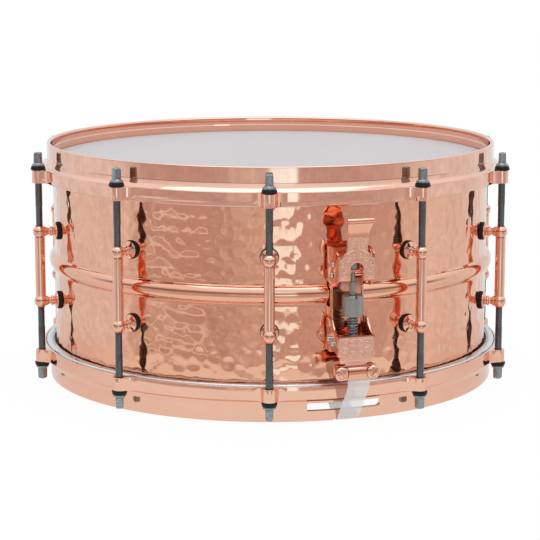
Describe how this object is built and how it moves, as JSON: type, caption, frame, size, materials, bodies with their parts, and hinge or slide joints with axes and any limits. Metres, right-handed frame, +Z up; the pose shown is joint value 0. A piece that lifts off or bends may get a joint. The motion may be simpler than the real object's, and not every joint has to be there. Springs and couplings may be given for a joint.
{
  "type": "snare drum",
  "caption": "Hammered copper snare drum with die-cast hoops, double-post tube lugs, a throw-off strainer with fine adjuster, a butt plate and snare wires.",
  "frame": {"origin": "on the drum's axis, in the plane of the bottom rim it rests on", "axes": "+Z up towards the batter head; angles run from -Y towards +X, with lugs every 36 degrees from 9 degrees, the throw-off at 27 degrees and the butt plate at 207 degrees"},
  "size_m": [0.3928, 0.3928, 0.1913],
  "materials": {
    "copper_shell": "hand-hammered raw copper, polished and lacquered, smooth on the centre bead",
    "copper_plate": "polished copper plating on die-cast and turned metal",
    "rod_steel": "dark oiled steel thread with a grey satin key head",
    "satin_steel": "bead-blasted grey steel",
    "bright_steel": "bright steel",
    "flesh_hoop_aluminium": "plain rolled aluminium",
    "coated_film": "white sprayed coating on polyester film",
    "clear_film": "thin hazy polyester film",
    "frosted_strap": "frosted translucent plastic strip"
  },
  "bodies": {
    "drum": {"batter_flesh_hoop": "flesh_hoop_aluminium", "batter_head_film": "coated_film", "bottom_hoop": "copper_plate", "butt_clamp_bar": "copper_plate", "butt_mount_screw_1": "bright_steel", "butt_mount_screw_2": "bright_steel", "butt_plate": "copper_plate", "butt_strap": "frosted_strap", "lever_pin": "bright_steel", "lug_01": "copper_plate", "lug_02": "copper_plate", "lug_03": "copper_plate", "lug_04": "copper_plate", "lug_05": "copper_plate", "lug_06": "copper_plate", "lug_07": "copper_plate", "lug_08": "copper_plate", "lug_09": "copper_plate", "lug_10": "copper_plate", "shell": "copper_shell", "snare_flesh_hoop": "flesh_hoop_aluminium", "snare_head_film": "clear_film", "strainer_base": "copper_plate", "strainer_mount_screw_1": "bright_steel", "strainer_mount_screw_2": "bright_steel", "strainer_strap": "frosted_strap", "top_hoop": "copper_plate", "vent_grommet": "copper_plate"},
    "lever": {"throw_lever": "copper_plate"},
    "adjuster": {"adjusting_screw": "satin_steel", "knob_spring": "satin_steel"},
    "knob": {"adjusting_knob": "satin_steel"},
    "carriage": {"snare_carriage": "copper_plate", "strainer_clamp_bar": "copper_plate"},
    "strainer_screw_left": {"strainer_clamp_screw_left": "copper_plate"},
    "strainer_screw_right": {"strainer_clamp_screw_right": "copper_plate"},
    "butt_screw_left": {"butt_clamp_screw_left": "copper_plate"},
    "butt_screw_right": {"butt_clamp_screw_right": "copper_plate"},
    "snares": {"snare_wires": "bright_steel"},
    "batter_rod_body_01": {"batter_rod_01": "rod_steel"},
    "batter_rod_body_02": {"batter_rod_02": "rod_steel"},
    "batter_rod_body_03": {"batter_rod_03": "rod_steel"},
    "batter_rod_body_04": {"batter_rod_04": "rod_steel"},
    "batter_rod_body_05": {"batter_rod_05": "rod_steel"},
    "batter_rod_body_06": {"batter_rod_06": "rod_steel"},
    "batter_rod_body_07": {"batter_rod_07": "rod_steel"},
    "batter_rod_body_08": {"batter_rod_08": "rod_steel"},
    "batter_rod_body_09": {"batter_rod_09": "rod_steel"},
    "batter_rod_body_10": {"batter_rod_10": "rod_steel"},
    "snare_rod_body_01": {"snare_rod_01": "rod_steel"},
    "snare_rod_body_02": {"snare_rod_02": "rod_steel"},
    "snare_rod_body_03": {"snare_rod_03": "rod_steel"},
    "snare_rod_body_04": {"snare_rod_04": "rod_steel"},
    "snare_rod_body_05": {"snare_rod_05": "rod_steel"},
    "snare_rod_body_06": {"snare_rod_06": "rod_steel"},
    "snare_rod_body_07": {"snare_rod_07": "rod_steel"},
    "snare_rod_body_08": {"snare_rod_08": "rod_steel"},
    "snare_rod_body_09": {"snare_rod_09": "rod_steel"},
    "snare_rod_body_10": {"snare_rod_10": "rod_steel"}
  },
  "joints": [
    {"name": "lever_throw", "type": "hinge", "parent": "drum", "child": "lever", "pos_m": [0.08735, -0.17143, 0.1125], "axis": [0.891, 0.454, 0], "range_deg": [0, 80]},
    {"name": "adjuster_drop", "type": "slide", "parent": "drum", "child": "adjuster", "axis": [0, 0, -1], "range_m": [0, 0.003]},
    {"name": "knob_turn", "type": "hinge", "parent": "adjuster", "child": "knob", "pos_m": [0.08944, -0.17553, 0.09], "axis": [0, 0, 1], "range_deg": [-720, 720]},
    {"name": "carriage_fine", "type": "slide", "parent": "adjuster", "child": "carriage", "axis": [0, 0, 1], "range_m": [-0.0022, 0.0022], "deforming": ["knob_spring"]},
    {"name": "strainer_screw_left_turn", "type": "hinge", "parent": "carriage", "child": "strainer_screw_left", "pos_m": [0.08247, -0.18895, 0.0418], "axis": [0.454, -0.891, 0], "continuous": true},
    {"name": "strainer_screw_right_turn", "type": "hinge", "parent": "carriage", "child": "strainer_screw_right", "pos_m": [0.10439, -0.17779, 0.0418], "axis": [0.454, -0.891, 0], "continuous": true},
    {"name": "butt_screw_left_turn", "type": "hinge", "parent": "drum", "child": "butt_screw_left", "pos_m": [-0.07784, 0.17986, 0.0418], "axis": [-0.454, 0.891, 0], "continuous": true},
    {"name": "butt_screw_right_turn", "type": "hinge", "parent": "drum", "child": "butt_screw_right", "pos_m": [-0.09976, 0.1687, 0.0418], "axis": [-0.454, 0.891, 0], "continuous": true},
    {"name": "snares_drop", "type": "hinge", "parent": "drum", "child": "snares", "pos_m": [-0.07355, 0.14434, 0.0114], "axis": [0.891, 0.454, 0], "range_deg": [0, 0.4]},
    {"name": "batter_rod_01_turn", "type": "hinge", "parent": "drum", "child": "batter_rod_body_01", "pos_m": [0.03019, -0.19062, 0.1733], "axis": [0, 0, 1], "continuous": true},
    {"name": "batter_rod_02_turn", "type": "hinge", "parent": "drum", "child": "batter_rod_body_02", "pos_m": [0.13647, -0.13647, 0.1733], "axis": [0, 0, 1], "continuous": true},
    {"name": "batter_rod_03_turn", "type": "hinge", "parent": "drum", "child": "batter_rod_body_03", "pos_m": [0.19062, -0.03019, 0.1733], "axis": [0, 0, 1], "continuous": true},
    {"name": "batter_rod_04_turn", "type": "hinge", "parent": "drum", "child": "batter_rod_body_04", "pos_m": [0.17196, 0.08762, 0.1733], "axis": [0, 0, 1], "continuous": true},
    {"name": "batter_rod_05_turn", "type": "hinge", "parent": "drum", "child": "batter_rod_body_05", "pos_m": [0.08762, 0.17196, 0.1733], "axis": [0, 0, 1], "continuous": true},
    {"name": "batter_rod_06_turn", "type": "hinge", "parent": "drum", "child": "batter_rod_body_06", "pos_m": [-0.03019, 0.19062, 0.1733], "axis": [0, 0, 1], "continuous": true},
    {"name": "batter_rod_07_turn", "type": "hinge", "parent": "drum", "child": "batter_rod_body_07", "pos_m": [-0.13647, 0.13647, 0.1733], "axis": [0, 0, 1], "continuous": true},
    {"name": "batter_rod_08_turn", "type": "hinge", "parent": "drum", "child": "batter_rod_body_08", "pos_m": [-0.19062, 0.03019, 0.1733], "axis": [0, 0, 1], "continuous": true},
    {"name": "batter_rod_09_turn", "type": "hinge", "parent": "drum", "child": "batter_rod_body_09", "pos_m": [-0.17196, -0.08762, 0.1733], "axis": [0, 0, 1], "continuous": true},
    {"name": "batter_rod_10_turn", "type": "hinge", "parent": "drum", "child": "batter_rod_body_10", "pos_m": [-0.08762, -0.17196, 0.1733], "axis": [0, 0, 1], "continuous": true},
    {"name": "snare_rod_01_turn", "type": "hinge", "parent": "drum", "child": "snare_rod_body_01", "pos_m": [0.03019, -0.19062, 0.018], "axis": [0, 0, 1], "continuous": true},
    {"name": "snare_rod_02_turn", "type": "hinge", "parent": "drum", "child": "snare_rod_body_02", "pos_m": [0.13647, -0.13647, 0.018], "axis": [0, 0, 1], "continuous": true},
    {"name": "snare_rod_03_turn", "type": "hinge", "parent": "drum", "child": "snare_rod_body_03", "pos_m": [0.19062, -0.03019, 0.018], "axis": [0, 0, 1], "continuous": true},
    {"name": "snare_rod_04_turn", "type": "hinge", "parent": "drum", "child": "snare_rod_body_04", "pos_m": [0.17196, 0.08762, 0.018], "axis": [0, 0, 1], "continuous": true},
    {"name": "snare_rod_05_turn", "type": "hinge", "parent": "drum", "child": "snare_rod_body_05", "pos_m": [0.08762, 0.17196, 0.018], "axis": [0, 0, 1], "continuous": true},
    {"name": "snare_rod_06_turn", "type": "hinge", "parent": "drum", "child": "snare_rod_body_06", "pos_m": [-0.03019, 0.19062, 0.018], "axis": [0, 0, 1], "continuous": true},
    {"name": "snare_rod_07_turn", "type": "hinge", "parent": "drum", "child": "snare_rod_body_07", "pos_m": [-0.13647, 0.13647, 0.018], "axis": [0, 0, 1], "continuous": true},
    {"name": "snare_rod_08_turn", "type": "hinge", "parent": "drum", "child": "snare_rod_body_08", "pos_m": [-0.19062, 0.03019, 0.018], "axis": [0, 0, 1], "continuous": true},
    {"name": "snare_rod_09_turn", "type": "hinge", "parent": "drum", "child": "snare_rod_body_09", "pos_m": [-0.17196, -0.08762, 0.018], "axis": [0, 0, 1], "continuous": true},
    {"name": "snare_rod_10_turn", "type": "hinge", "parent": "drum", "child": "snare_rod_body_10", "pos_m": [-0.08762, -0.17196, 0.018], "axis": [0, 0, 1], "continuous": true}
  ],
  "couplings": [
    {"joint": "adjuster_drop", "follows": "lever_throw", "m_per_rad": 0.002148},
    {"joint": "snares_drop", "follows": "lever_throw", "ratio": 0.004999},
    {"joint": "carriage_fine", "follows": "knob_turn", "m_per_rad": -0.00015915}
  ]
}
